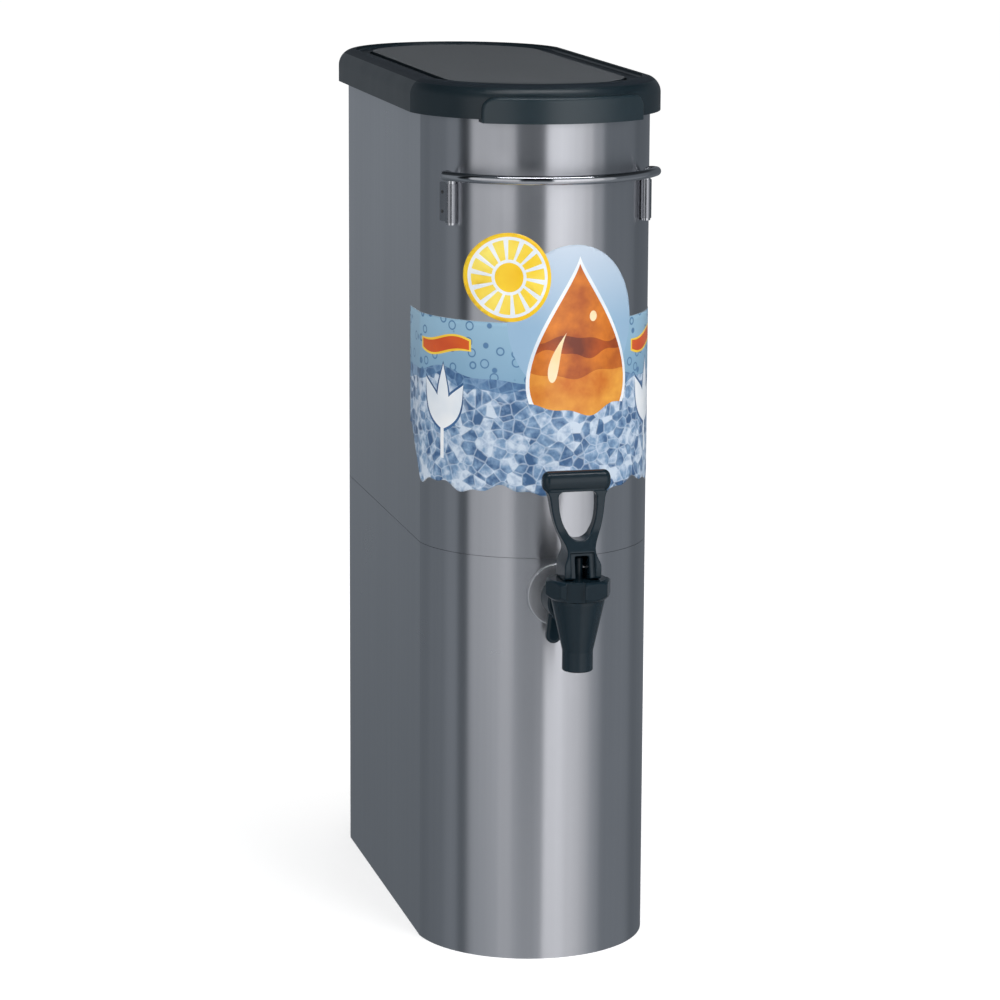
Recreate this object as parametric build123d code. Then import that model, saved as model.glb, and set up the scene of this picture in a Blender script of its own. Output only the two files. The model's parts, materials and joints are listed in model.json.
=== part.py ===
from build123d import *
import math
import os

# A narrow iced tea dispenser: obround stainless tank on its own skirt, loose moulded lid,
# wire carrying handle and a lever tap. Millimetres, +Z up, the front faces -Y.
# The origin is on the standing surface, midway between the tap's collar and the lid's rear edge.

# Body: straight sides and two round ends
BODY_WIDTH = 160.0
BODY_LENGTH = 384.0
END_RADIUS = 80.8
SHEET = 1.0
SHEET_GAP = 0.1
SEAM_GAP = 0.3
SEAM_Z = 282.3
LAP = 12.0
RIM_Z = 590.5
HEM_HEIGHT = 18.0
RIM_CHAMFER = 0.5
FOOT_FLANGE = 12.0

# Sloping floor pan
FLOOR_FRONT_Z = 240.0
FLOOR_REAR_Z = 262.0

# Lid
LID_OVERHANG = 7.2
SKIRT_Z = 578.4
SKIRT_CLEARANCE = 1.2
LID_RIM_Z = 601.6
LID_EDGE_RADIUS = 11.5
LEDGE_Z = 598.6
LEDGE_INSET = 5.5
LEDGE_RADIUS = 1.6
PANEL_Z = 600.0
PANEL_INSET = 17.7
GROOVE_WIDTH = 2.0
GROOVE_Z = 596.4
LID_UNDERSIDE_Z = 593.8
RIB_INSET = 2.7
RIB_THICKNESS = 2.8
RIB_DROP = 9.0
LIP_X = 4.0
LIP_HALF_WIDTH = 56.0
LIP_TOP_Z = 593.7
LIP_DROP = 2.2
LIP_PROUD = 3.6
LIP_CORNER = 9.0

# Wire carrying handle and its clips
WIRE_RADIUS = 3.15
WIRE_Z = 539.9
BOW_RADIUS = 84.0
BOW_PROUD = 18.0
WIRE_BEND = 3.5
LEG_ANGLE = 53.5
LEG_STANDOFF = 3.25
LEG_BOTTOM_Z = 506.2
CLIP_BOTTOM_Z = 507.7
CLIP_TOP_Z = 533.8
CLIP_SHEET = 0.6
CLIP_FLANGE = 13.0
WELD_SHARE = 0.8
WELD_DIMPLE = 1.6

# Tap: its axis stands in front of the wall, and its shank axis runs to the tank
TAP_REACH = 53.8
SHANK_Z = 256.9
SPOUT_Z = 217.4
SPOUT_RADIUS = 10.3
SPOUT_TOP_Z = 230.9
CONE_TOP_RADIUS = 17.7
CONE_TOP_Z = 266.4
OUTLET_RADIUS = 6.3
SHANK_RADIUS = 7.0
SHANK_BORE = 5.0
SEAT_Z = 243.9
NECK_RADIUS = 15.4
NECK_TOP_Z = 272.4
COLLAR_RADIUS = 22.4
BONNET_TOP_Z = 280.4
STEM_RADIUS = 3.1
STEM_TOP_Z = 294.9
RUNNING_GAP = 0.08

# Closing spring, from the stem's shoulder to the roof of the bonnet's well
SHOULDER_RISE = 9.0
SPRING_RADIUS = 4.2
SPRING_WIRE_RADIUS = 0.5
SPRING_TURNS = 5
SPRING_ROOM = BONNET_TOP_Z - 3 - SEAT_Z - SHOULDER_RISE
SPRING_PITCH = (SPRING_ROOM - 1.2) / SPRING_TURNS

# Lever: the pin sits above the bonnet, and the heel lifts it evenly as the lever tilts
PIN_Z = 287.4
PIN_RADIUS = 1.5
PIN_REACH = 10.2
HANDLE_TILT = 35.0
STEM_LIFT = 4.5
CHEEK_HALF_WIDTH = 12.5
SLOT_WIDTH = 9.5
WINDOW_HALF_WIDTH = 13.0
WINDOW_BOTTOM = 18.6
WINDOW_TOP = 50.0
GRIP_HALF_WIDTH = 23.1
GRIP_LEAN = 7.5
GRIP_RISE = 56.6
GRIP_DEPTH = 12.4
GRIP_HEIGHT = 14.2

# Spigot through the wall
FLANGE_RADIUS = 21.4
FLANGE_PROUD = 2.3
STUB_RADIUS = 9.5
STUB_BORE = 6.5
STUB_LENGTH = 18.0
HOLE_CLEARANCE = 0.3
WING_TILT = 14.5
WING_REACH = 31.0
WING_TIP_RADIUS = 5.2
WING_ROOT_RADIUS = 9.0
WING_THICKNESS = 7.0
HUB_RADIUS = 13.5
HUB_ROUND = 1.4

# Printed film on the front end
LABEL_BOTTOM_Z = 324.0
LABEL_TOP_Z = 442.4
LABEL_WRAP = 30.0
LABEL_FILM = 0.25
ARCH_X = 10.0
ARCH_HALF_WIDTH = 44.0
ARCH_TOP_Z = 494.7
DISC_X = -33.0
DISC_Z = 473.0
DISC_HALF_WIDTH = 27.0
DISC_HALF_HEIGHT = 30.0

FRONT_REACH = BODY_LENGTH / 2 + TAP_REACH + COLLAR_RADIUS
REAR_REACH = BODY_LENGTH / 2 + LID_OVERHANG
BODY_Y = (FRONT_REACH - REAR_REACH) / 2
WALL_Y = BODY_Y - BODY_LENGTH / 2
ARC_Y = WALL_Y + END_RADIUS
TAP_Y = WALL_Y - TAP_REACH


def plan(offset=0.0):
    """Outline of the body seen from above, moved outwards by offset."""
    half = BODY_WIDTH / 2 + offset
    radius = END_RADIUS + offset
    side = BODY_LENGTH / 2 - END_RADIUS + math.sqrt(radius ** 2 - half ** 2)
    tip = BODY_LENGTH / 2 + offset
    front = ThreePointArc((-half, -side), (0, -tip), (half, -side))
    rear = ThreePointArc((half, side), (0, tip), (-half, side))
    right = Line((half, -side), (half, side))
    left = Line((-half, side), (-half, -side))
    return Pos(0, BODY_Y) * make_face([front, right, rear, left])


def slab(outline, bottom, top):
    """A flat outline given height."""
    return Pos(0, 0, bottom) * extrude(outline, top - bottom)


def ring(outer, inner, bottom, top):
    """A wall that follows the body between two offsets."""
    return slab(plan(outer), bottom, top) - slab(plan(inner), bottom, top)


def rod(radius, start, end):
    """A straight round bar between two points."""
    path = Line(start, end)
    return sweep(Plane(origin=start, z_dir=path % 0) * Circle(radius), path)


def around(radius, angle, height=0.0):
    """A point at an angle from straight ahead about the axis of the front end."""
    turn = math.radians(angle)
    return Vector(radius * math.sin(turn), ARC_Y - radius * math.cos(turn), height)


def turned(points):
    """A solid turned about the tap's vertical axis from its half profile."""
    profile = Plane.XZ * make_face(Polyline(*points, close=True))
    return Pos(0, TAP_Y, 0) * revolve(profile, Axis.Z)


def make_tank_shell():
    """Upper wrap: rim hemmed inwards, lower edge stepped in to fit inside the lower wrap."""
    step = SHEET + SHEET_GAP
    wall = ring(0, -SHEET, SEAM_Z, RIM_Z)
    hem = ring(-SHEET, -2 * SHEET, RIM_Z - HEM_HEIGHT, RIM_Z)
    shoulder = ring(0, -step - SHEET, SEAM_Z, SEAM_Z + SHEET)
    neck = ring(-step, -step - SHEET, SEAM_Z - LAP, SEAM_Z)
    shell = wall + hem + shoulder + neck
    rim = shell.faces().sort_by(Axis.Z)[-1].outer_wire().edges()
    return chamfer(rim, RIM_CHAMFER)


def spigot_hole(radius):
    """Bar along the shank axis, used to cut the spigot's hole."""
    return rod(radius, (0, WALL_Y - 10, SHANK_Z), (0, WALL_Y + 20, SHANK_Z))


def make_base_shell():
    """Lower wrap, flush with the upper one, with a flange turned in at the foot."""
    wall = ring(0, -SHEET, 0, SEAM_Z - SEAM_GAP)
    foot = ring(0, -FOOT_FLANGE, 0, SHEET)
    return wall + foot - spigot_hole(STUB_RADIUS + HOLE_CLEARANCE)


def make_tank_floor():
    """Drawn pan: its floor falls towards the tap, its rim sits on the upper wrap's shoulder."""
    outer = -2 * (SHEET + SHEET_GAP)
    lip_z = SEAM_Z + SHEET
    slope = math.degrees(math.atan2(FLOOR_REAR_Z - FLOOR_FRONT_Z, BODY_LENGTH))
    tilt = Pos(0, WALL_Y, FLOOR_FRONT_Z) * Rot(slope, 0, 0)
    height = BODY_WIDTH
    above = tilt * Pos(0, BODY_LENGTH / 2, height / 2) * Box(2 * BODY_WIDTH, 2 * BODY_LENGTH, height)
    block = slab(plan(outer), FLOOR_FRONT_Z - 5, lip_z) & above
    hollow = slab(plan(outer - SHEET), FLOOR_FRONT_Z - 5, lip_z) & Pos(0, 0, SHEET) * above
    lip = ring(-SHEET - SHEET_GAP, outer - SHEET, lip_z, lip_z + SHEET)
    return block - hollow + lip - spigot_hole(STUB_RADIUS + HOLE_CLEARANCE)


def make_lid():
    """Moulded lid: rounded rim, ledge, grooved panel, skirt, finger lip and locating rib."""
    body = slab(plan(LID_OVERHANG), SKIRT_Z, LID_RIM_Z)
    body = fillet(body.faces().sort_by(Axis.Z)[-1].edges(), LID_EDGE_RADIUS)
    ledge = slab(plan(-LEDGE_INSET), LEDGE_Z, LID_RIM_Z)
    ledge = fillet(ledge.faces().sort_by(Axis.Z)[0].edges(), LEDGE_RADIUS)
    panel = slab(plan(-PANEL_INSET), GROOVE_Z, PANEL_Z)
    groove = ring(GROOVE_WIDTH - PANEL_INSET, -PANEL_INSET, GROOVE_Z, LEDGE_Z)
    skirt_space = slab(plan(SKIRT_CLEARANCE), SKIRT_Z, RIM_Z)
    rib_outer = -RIB_INSET
    rib_inner = rib_outer - RIB_THICKNESS
    under_space = slab(plan(rib_inner), RIM_Z, LID_UNDERSIDE_Z)
    rib = ring(rib_outer, rib_inner, RIM_Z - RIB_DROP, RIM_Z)
    return body - ledge + panel - groove - skirt_space - under_space + rib + finger_lip()


def finger_lip():
    """Proud pad with rounded upper corners on the front of the skirt."""
    bottom = SKIRT_Z - LIP_DROP
    height = LIP_TOP_Z - bottom
    outline = RectangleRounded(2 * LIP_HALF_WIDTH, 2 * height, LIP_CORNER)
    outline = outline & Pos(0, height / 2) * Rectangle(2 * LIP_HALF_WIDTH, height)
    pad = extrude(Plane.XZ * outline, BODY_WIDTH)
    band = ring(LID_OVERHANG + LIP_PROUD, SKIRT_CLEARANCE, bottom, LIP_TOP_Z)
    pad = Pos(LIP_X, ARC_Y, bottom) * pad & band
    return fillet(pad.faces().sort_by(Axis.Z)[-1].edges().sort_by(Axis.Y)[:1], 2.5)


def make_carry_handle():
    """Bent wire: a leg in each clip, out from the wall, then a bow round the front."""
    centre = Vector(0, WALL_Y - BOW_PROUD + BOW_RADIUS, WIRE_Z)
    foot = around(END_RADIUS + LEG_STANDOFF, LEG_ANGLE, LEG_BOTTOM_Z)
    arm = Vector(foot.X, foot.Y - centre.Y, 0)
    outward = arm.normalized()
    inner = BOW_RADIUS - WIRE_BEND
    swing = math.degrees(math.asin(WIRE_BEND / inner))
    shoulder = Vector(foot.X, foot.Y, WIRE_Z - WIRE_BEND)
    elbow = centre + arm + outward * WIRE_BEND
    corner = centre + outward * math.sqrt(inner ** 2 - WIRE_BEND ** 2)
    bow_end = centre + (outward * BOW_RADIUS).rotate(Axis.Z, -swing)
    side = [
        Line(foot, shoulder),
        TangentArc(shoulder, elbow, tangent=(0, 0, 1)),
        Line(elbow, corner),
        TangentArc(corner, bow_end, tangent=outward),
    ]
    far_end = Vector(-bow_end.X, bow_end.Y, bow_end.Z)
    front = ThreePointArc(bow_end, centre - Vector(0, BOW_RADIUS, 0), far_end)
    other = [edge.mirror(Plane.YZ) for edge in side]
    path = Wire(side + [front] + other)
    return sweep(Plane(origin=foot, z_dir=(0, 0, 1)) * Circle(WIRE_RADIUS), path)


def make_handle_clip(side):
    """Sheet wrapped round the leg, with a flange spot welded to the wall beside it."""
    bore = WIRE_RADIUS + 0.1
    height = CLIP_TOP_Z - CLIP_BOTTOM_Z
    leg = around(END_RADIUS + LEG_STANDOFF, LEG_ANGLE, CLIP_BOTTOM_Z)
    roll = Pos(leg) * extrude(Circle(bore + CLIP_SHEET), height)
    near = END_RADIUS + 0.1
    far = near + CLIP_SHEET
    far_angle = LEG_ANGLE + math.degrees(CLIP_FLANGE / near)
    middle = (LEG_ANGLE + far_angle) / 2
    outer = ThreePointArc(around(far, LEG_ANGLE), around(far, middle), around(far, far_angle))
    inner = ThreePointArc(around(near, far_angle), around(near, middle), around(near, LEG_ANGLE))
    outline = make_face([outer, Line(outer @ 1, inner @ 0), inner, Line(inner @ 1, outer @ 0)])
    flange = slab(outline, CLIP_BOTTOM_Z, CLIP_TOP_Z)
    bar = Pos(leg) * Cylinder(bore, 3 * height)
    wall = Pos(0, ARC_Y, CLIP_BOTTOM_Z) * Cylinder(near, 3 * height)
    clip = roll + flange - bar - wall
    weld_angle = LEG_ANGLE + math.degrees(WELD_SHARE * CLIP_FLANGE / near)
    for share in (0.25, 0.75):
        spot = around(far + WELD_DIMPLE - CLIP_SHEET / 2, weld_angle, CLIP_BOTTOM_Z + share * height)
        clip = clip - Pos(spot) * Sphere(WELD_DIMPLE)
    return clip if side > 0 else clip.mirror(Plane.YZ)


def make_spigot_flange():
    """Pressed cup between the curved wall and the flat face that the nut side needs."""
    front = WALL_Y - FLANGE_PROUD
    cup = rod(FLANGE_RADIUS, (0, front, SHANK_Z), (0, front + 8, SHANK_Z))
    cup = fillet(cup.edges().sort_by(Axis.Y)[0], 1.0)
    hollow = rod(FLANGE_RADIUS - 1.2, (0, front + 1.2, SHANK_Z), (0, front + 8, SHANK_Z))
    cup = cup - hollow - spigot_hole(STUB_RADIUS + HOLE_CLEARANCE)
    return cup - slab(plan(), 0, SEAM_Z)


def make_spigot_stub():
    """Threaded tube through both walls, with a shoulder that bears on the cup."""
    tip = WALL_Y - STUB_LENGTH
    tube = rod(STUB_RADIUS, (0, tip, SHANK_Z), (0, WALL_Y + 12, SHANK_Z))
    tube = chamfer(tube.edges().sort_by(Axis.Y)[0], 0.8)
    face = WALL_Y - FLANGE_PROUD
    shoulder = rod(STUB_RADIUS + 2.5, (0, face - 1.5, SHANK_Z), (0, face, SHANK_Z))
    return tube + shoulder - spigot_hole(STUB_BORE) - rod(
        STUB_BORE, (0, tip - 1, SHANK_Z), (0, WALL_Y, SHANK_Z)
    )


def make_stub_gasket():
    """Soft ring that fills the curve between the pan wall and the lock nut."""
    start = (0, WALL_Y, SHANK_Z)
    end = (0, WALL_Y + 7, SHANK_Z)
    block = rod(13.5, start, end) - rod(STUB_RADIUS + 0.1, start, end)
    inside = plan(-3 * SHEET - 2 * SHEET_GAP)
    return block & slab(inside, 0, SEAM_Z)


def make_stub_nut():
    """Thin six-sided lock nut inside the tank."""
    start = WALL_Y + 7
    outline = RegularPolygon(15, 6) - Circle(STUB_RADIUS + 0.02)
    return Pos(0, start + 4, SHANK_Z) * extrude(Plane.XZ * outline, 4)


def make_shank_washer():
    """Flat seal between the stub's end and the tap's shank."""
    outline = Circle(9.2) - Circle(5.4)
    tip = WALL_Y - STUB_LENGTH
    return Pos(0, tip, SHANK_Z) * extrude(Plane.XZ * outline, 1.8)


def make_wing_nut():
    """Round nut with two lobed wings and an inner lip that pulls on the shank's collar."""
    back = WALL_Y - FLANGE_PROUD - 3.0
    front = WALL_Y - STUB_LENGTH - 9.0
    depth = back - front
    hub = Pos(0, back, SHANK_Z) * extrude(Plane.XZ * Circle(HUB_RADIUS), depth)
    hub = fillet(hub.edges(), HUB_ROUND)
    reach = WING_REACH - WING_TIP_RADIUS
    lobe = Pos(0, reach) * Circle(WING_TIP_RADIUS) + Pos(0, -reach) * Circle(WING_TIP_RADIUS)
    wing = make_hull((lobe + Circle(WING_ROOT_RADIUS)).edges())
    wings = Pos(0, back - 5, SHANK_Z) * extrude(
        Plane.XZ * Rot(0, 0, -WING_TILT) * wing, WING_THICKNESS
    )
    wings = chamfer(wings.edges(), HUB_ROUND)
    thread = rod(
        STUB_RADIUS + RUNNING_GAP,
        (0, back + 1, SHANK_Z),
        (0, WALL_Y - STUB_LENGTH - 4.4, SHANK_Z),
    )
    throat = rod(SHANK_RADIUS + 0.2, (0, back, SHANK_Z), (0, front - 1, SHANK_Z))
    return hub + wings - thread - throat


def make_tap_body():
    """Conical spout with its chamber, threaded neck and rear shank."""
    outside = turned([
        (0, SPOUT_Z), (SPOUT_RADIUS, SPOUT_Z), (SPOUT_RADIUS, SPOUT_TOP_Z),
        (CONE_TOP_RADIUS, CONE_TOP_Z - 2), (CONE_TOP_RADIUS, CONE_TOP_Z),
        (NECK_RADIUS, CONE_TOP_Z), (NECK_RADIUS, NECK_TOP_Z), (0, NECK_TOP_Z),
    ])
    inside = turned([
        (0, SPOUT_Z - 1), (OUTLET_RADIUS, SPOUT_Z - 1), (OUTLET_RADIUS, SEAT_Z),
        (9.6, SEAT_Z), (13.4, SHANK_Z + 5), (13.4, NECK_TOP_Z + 1), (0, NECK_TOP_Z + 1),
    ])
    washer_y = WALL_Y - STUB_LENGTH - 1.8
    shank = rod(SHANK_RADIUS, (0, TAP_Y + 8, SHANK_Z), (0, washer_y, SHANK_Z))
    collar = rod(9.3, (0, washer_y - 2.4, SHANK_Z), (0, washer_y, SHANK_Z))
    bore = rod(SHANK_BORE, (0, TAP_Y, SHANK_Z), (0, washer_y + 1, SHANK_Z))
    body = outside + shank - inside - bore + (collar - bore)
    tip = body.edges().filter_by(GeomType.CIRCLE).group_by(Axis.Z)[0].sort_by(SortBy.RADIUS)[-1]
    return fillet(tip, 1.2)


def make_bonnet():
    """Eight-sided collar that screws on the neck, with a well for the spring."""
    prism = extrude(Rot(0, 0, 90) * RegularPolygon(COLLAR_RADIUS, 8), BONNET_TOP_Z - CONE_TOP_Z)
    prism = Pos(0, TAP_Y, CONE_TOP_Z + 0.1) * prism
    limits = turned([
        (0, CONE_TOP_Z + 0.1), (18.6, CONE_TOP_Z + 0.1), (COLLAR_RADIUS + 0.2, CONE_TOP_Z + 4),
        (COLLAR_RADIUS + 0.2, BONNET_TOP_Z - 2.4), (19.4, BONNET_TOP_Z), (0, BONNET_TOP_Z),
    ])
    well = turned([
        (0, CONE_TOP_Z), (NECK_RADIUS + 0.1, CONE_TOP_Z), (NECK_RADIUS + 0.1, NECK_TOP_Z + 1.1),
        (7.0, NECK_TOP_Z + 1.1), (7.0, BONNET_TOP_Z - 3), (STEM_RADIUS + RUNNING_GAP, BONNET_TOP_Z - 3),
        (STEM_RADIUS + RUNNING_GAP, BONNET_TOP_Z + 1), (0, BONNET_TOP_Z + 1),
    ])
    return (prism & limits) - well


def make_seat_cup():
    """Silicone cup: clamped rim, flexible cone, and a nose on the outlet seat."""
    rim = NECK_TOP_Z + 1.0
    return turned([
        (4.6, SEAT_Z + 0.05), (8.4, SEAT_Z + 0.05), (8.8, SEAT_Z + 1.5), (7.6, SEAT_Z + 4),
        (6.4, SEAT_Z + 7), (12.6, NECK_TOP_Z - 4), (12.8, NECK_TOP_Z + 0.02),
        (15.2, NECK_TOP_Z + 0.02), (15.2, rim), (11.4, rim), (11.4, NECK_TOP_Z - 4),
        (5.2, SEAT_Z + 7.4), (2.2, SEAT_Z + 7.4), (2.2, SEAT_Z + 4.6), (4.6, SEAT_Z + 4.6),
    ])


def make_stem():
    """Plunger rod: button in the cup, shoulder under the spring, hole for the pin."""
    body = turned([
        (0, SEAT_Z + 0.6), (4.5, SEAT_Z + 0.6), (4.5, SEAT_Z + 4.5), (2.1, SEAT_Z + 4.5),
        (2.1, SEAT_Z + 7.5), (5.0, SEAT_Z + 7.5), (5.0, SEAT_Z + SHOULDER_RISE),
        (STEM_RADIUS, SEAT_Z + SHOULDER_RISE),
        (STEM_RADIUS, STEM_TOP_Z - 1.2), (STEM_RADIUS - 1.2, STEM_TOP_Z), (0, STEM_TOP_Z),
    ])
    return body - rod(PIN_RADIUS, (-6, TAP_Y, PIN_Z), (6, TAP_Y, PIN_Z))


def coil_place(turns):
    """Point and direction of travel on the spring's centre line, a number of turns up."""
    angle = 2 * math.pi * turns
    rise = SPRING_PITCH / (2 * math.pi * SPRING_RADIUS)
    point = Vector(SPRING_RADIUS * math.cos(angle), SPRING_RADIUS * math.sin(angle), SPRING_PITCH * turns)
    heading = Vector(-math.sin(angle), math.cos(angle), rise).normalized()
    return point, heading


def biarc(start, start_heading, end, end_heading):
    """Two arcs that leave and arrive in given directions and meet in line."""
    chord = end - start
    both = start_heading + end_heading
    spread = 2 * (1 - start_heading.dot(end_heading))
    along = chord.dot(both)
    reach = (math.sqrt(along ** 2 + spread * chord.dot(chord)) - along) / spread
    joint = (start + end + (start_heading - end_heading) * reach) * 0.5
    first = TangentArc(start, joint, tangent=start_heading)
    return [first, TangentArc(joint, end, tangent=first % 1)]


def least_gap(path):
    """Least clear space between one turn of the spring and the next, measured on points."""
    centres = [path @ (step / 400) for step in range(401)]
    apart = int(400 * 0.6 / SPRING_TURNS)
    distances = [
        (centres[i] - centres[j]).length
        for i in range(len(centres))
        for j in range(i + apart, len(centres))
    ]
    return min(distances) - 2 * SPRING_WIRE_RADIUS


def make_closing_spring():
    """Coil between the stem's shoulder and the roof of the bonnet's well."""
    edges = []
    for half in range(2 * SPRING_TURNS):
        edges += biarc(*coil_place(half / 2), *coil_place((half + 1) / 2))
    path = Wire(edges)
    print("closing_spring: least gap between turns", round(least_gap(path), 2), "mm")
    section = Plane(origin=path @ 0, z_dir=path % 0) * RegularPolygon(SPRING_WIRE_RADIUS, 6)
    return Pos(0, TAP_Y, SEAT_Z + SHOULDER_RISE + 0.6) * sweep(section, path)


def make_handle_pin():
    """Cross pin through the lever's cheeks and the stem."""
    return rod(PIN_RADIUS, (-PIN_REACH, TAP_Y, PIN_Z), (PIN_REACH, TAP_Y, PIN_Z))


def heel_points():
    """Involute heel: its lowest point stays in line as the lever tilts, so lift is even."""
    height = PIN_Z - BONNET_TOP_Z - 0.1
    reach = STEM_LIFT / math.radians(HANDLE_TILT)
    points = []
    for step in range(5):
        tilt = math.radians(HANDLE_TILT) * step / 4
        drop = height + reach * tilt
        y = -reach * math.cos(tilt) - drop * math.sin(tilt)
        z = reach * math.sin(tilt) - drop * math.cos(tilt)
        points.append((y, z))
    return points


def lever_side():
    """Side view of the lever about the pin: foot, heel, neck and arms leaning back."""
    heel = heel_points()
    back_foot = (10.5, heel[0][1])
    grip = (GRIP_LEAN, GRIP_RISE)
    front = Spline(heel[-1], (-12.4, 6), (-8.6, 14), (-3.0, 22), (1.0, 36), (GRIP_LEAN - 5, WINDOW_TOP))
    rear = Spline((GRIP_LEAN + 5, WINDOW_TOP), (9.0, 36), (7.2, 23), (9.6, 12), (10.5, 3))
    return make_face([
        Line(back_foot, heel[0]), Spline(*heel), front, Line(front @ 1, grip), Line(grip, rear @ 0),
        rear, Line(rear @ 1, back_foot),
    ])


def lever_front():
    """Front view of the lever about the pin: foot, waist and two spreading arms."""
    foot = BONNET_TOP_Z - PIN_Z
    cheek = Line((CHEEK_HALF_WIDTH, foot), (CHEEK_HALF_WIDTH, 2))
    arm = Spline(
        cheek @ 1, (11.0, 7), (9.6, 12.5), (10.8, 17), (14.4, 24.6), (17.0, 33.5), (18.3, 42),
        (20.6, WINDOW_TOP), tangents=[(0, 1), (1, 1)],
    )
    top = Line(arm @ 1, (0, GRIP_RISE))
    half = [Line((0, foot), cheek @ 0), cheek, arm, top]
    other = [edge.mirror(Plane.YZ) for edge in half]
    return make_face(half + other)


def window_front():
    """Finger window: flat top with round corners, narrowing to a round bottom."""
    top = Line((-9.6, WINDOW_TOP), (9.6, WINDOW_TOP))
    corner_end = (WINDOW_HALF_WIDTH, WINDOW_TOP - 4.2)
    right_corner = ThreePointArc(top @ 1, (12.2, WINDOW_TOP - 1.3), corner_end)
    right = Spline(corner_end, (12.4, 37.5), (10.6, 29.5), (8.0, 24.1))
    bottom = ThreePointArc(right @ 1, (0, WINDOW_BOTTOM), (-8.0, 24.1))
    left = right.mirror(Plane.YZ)
    left_corner = right_corner.mirror(Plane.YZ)
    return make_face([top, right_corner, right, bottom, left, left_corner])


def make_tap_handle():
    """Loop lever: forked foot on the bonnet, finger window, rounded grip bar."""
    side = extrude(Plane.YZ * lever_side(), CHEEK_HALF_WIDTH * 2, both=True)
    front = extrude(Plane.XZ * lever_front(), CHEEK_HALF_WIDTH * 2, both=True)
    window = extrude(Plane.XZ * window_front(), CHEEK_HALF_WIDTH * 2, both=True)
    section = Plane.YZ * Pos(GRIP_LEAN, GRIP_RISE) * Ellipse(GRIP_DEPTH / 2, GRIP_HEIGHT / 2)
    grip = extrude(section, GRIP_HALF_WIDTH, both=True)
    grip = fillet(grip.edges().filter_by(GeomType.ELLIPSE), 4.5)
    slot = Pos(0, 7.5, BONNET_TOP_Z - PIN_Z - 1) * Box(
        SLOT_WIDTH, 40, 17, align=(Align.CENTER, Align.MAX, Align.MIN)
    )
    pin_hole = rod(PIN_RADIUS + 0.05, (-PIN_REACH - 0.2, 0, 0), (PIN_REACH + 0.2, 0, 0))
    return Pos(0, TAP_Y, PIN_Z) * ((side & front) + grip - window - slot - pin_hole)


def make_front_label():
    """Printed film wrapped round the front end, with an arched middle and a round upper left."""
    crease_y = ARC_Y - math.sqrt(END_RADIUS ** 2 - (BODY_WIDTH / 2) ** 2)
    film = ring(0.05 + LABEL_FILM, 0.05, LABEL_BOTTOM_Z, ARCH_TOP_Z + 20)
    keep = Box(2 * BODY_WIDTH, BODY_LENGTH, 2 * BODY_LENGTH, align=(Align.CENTER, Align.MAX, Align.MIN))
    band = Pos(0, LABEL_BOTTOM_Z) * Rectangle(
        2 * BODY_WIDTH, LABEL_TOP_Z - LABEL_BOTTOM_Z, align=(Align.CENTER, Align.MIN)
    )
    arch_height = ARCH_TOP_Z - LABEL_TOP_Z
    arch = Pos(ARCH_X, LABEL_TOP_Z) * Ellipse(ARCH_HALF_WIDTH, arch_height)
    disc = Pos(DISC_X, DISC_Z) * Ellipse(DISC_HALF_WIDTH, DISC_HALF_HEIGHT)
    outline = extrude(Plane.XZ * (band + arch + disc), BODY_LENGTH, both=True)
    return film & Pos(0, crease_y + LABEL_WRAP, 0) * keep & outline


def save(name, shape):
    """Write one piece to its own file."""
    shape.label = name
    export_step(shape, os.path.join("parts", name + ".step"))


def main():
    os.makedirs("parts", exist_ok=True)
    pieces = {
        "tank_shell": make_tank_shell(),
        "base_shell": make_base_shell(),
        "tank_floor": make_tank_floor(),
        "lid": make_lid(),
        "front_label": make_front_label(),
        "carry_handle": make_carry_handle(),
        "left_handle_clip": make_handle_clip(-1),
        "right_handle_clip": make_handle_clip(1),
        "spigot_flange": make_spigot_flange(),
        "spigot_stub": make_spigot_stub(),
        "stub_gasket": make_stub_gasket(),
        "stub_nut": make_stub_nut(),
        "shank_washer": make_shank_washer(),
        "wing_nut": make_wing_nut(),
        "tap_body": make_tap_body(),
        "bonnet": make_bonnet(),
        "seat_cup": make_seat_cup(),
        "stem": make_stem(),
        "closing_spring": make_closing_spring(),
        "handle_pin": make_handle_pin(),
        "tap_handle": make_tap_handle(),
    }
    for name, shape in pieces.items():
        save(name, shape)


main()
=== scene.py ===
import json
import math

import bmesh
import bpy
from mathutils import Matrix, Vector
from mathutils.geometry import delaunay_2d_cdt

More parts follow.
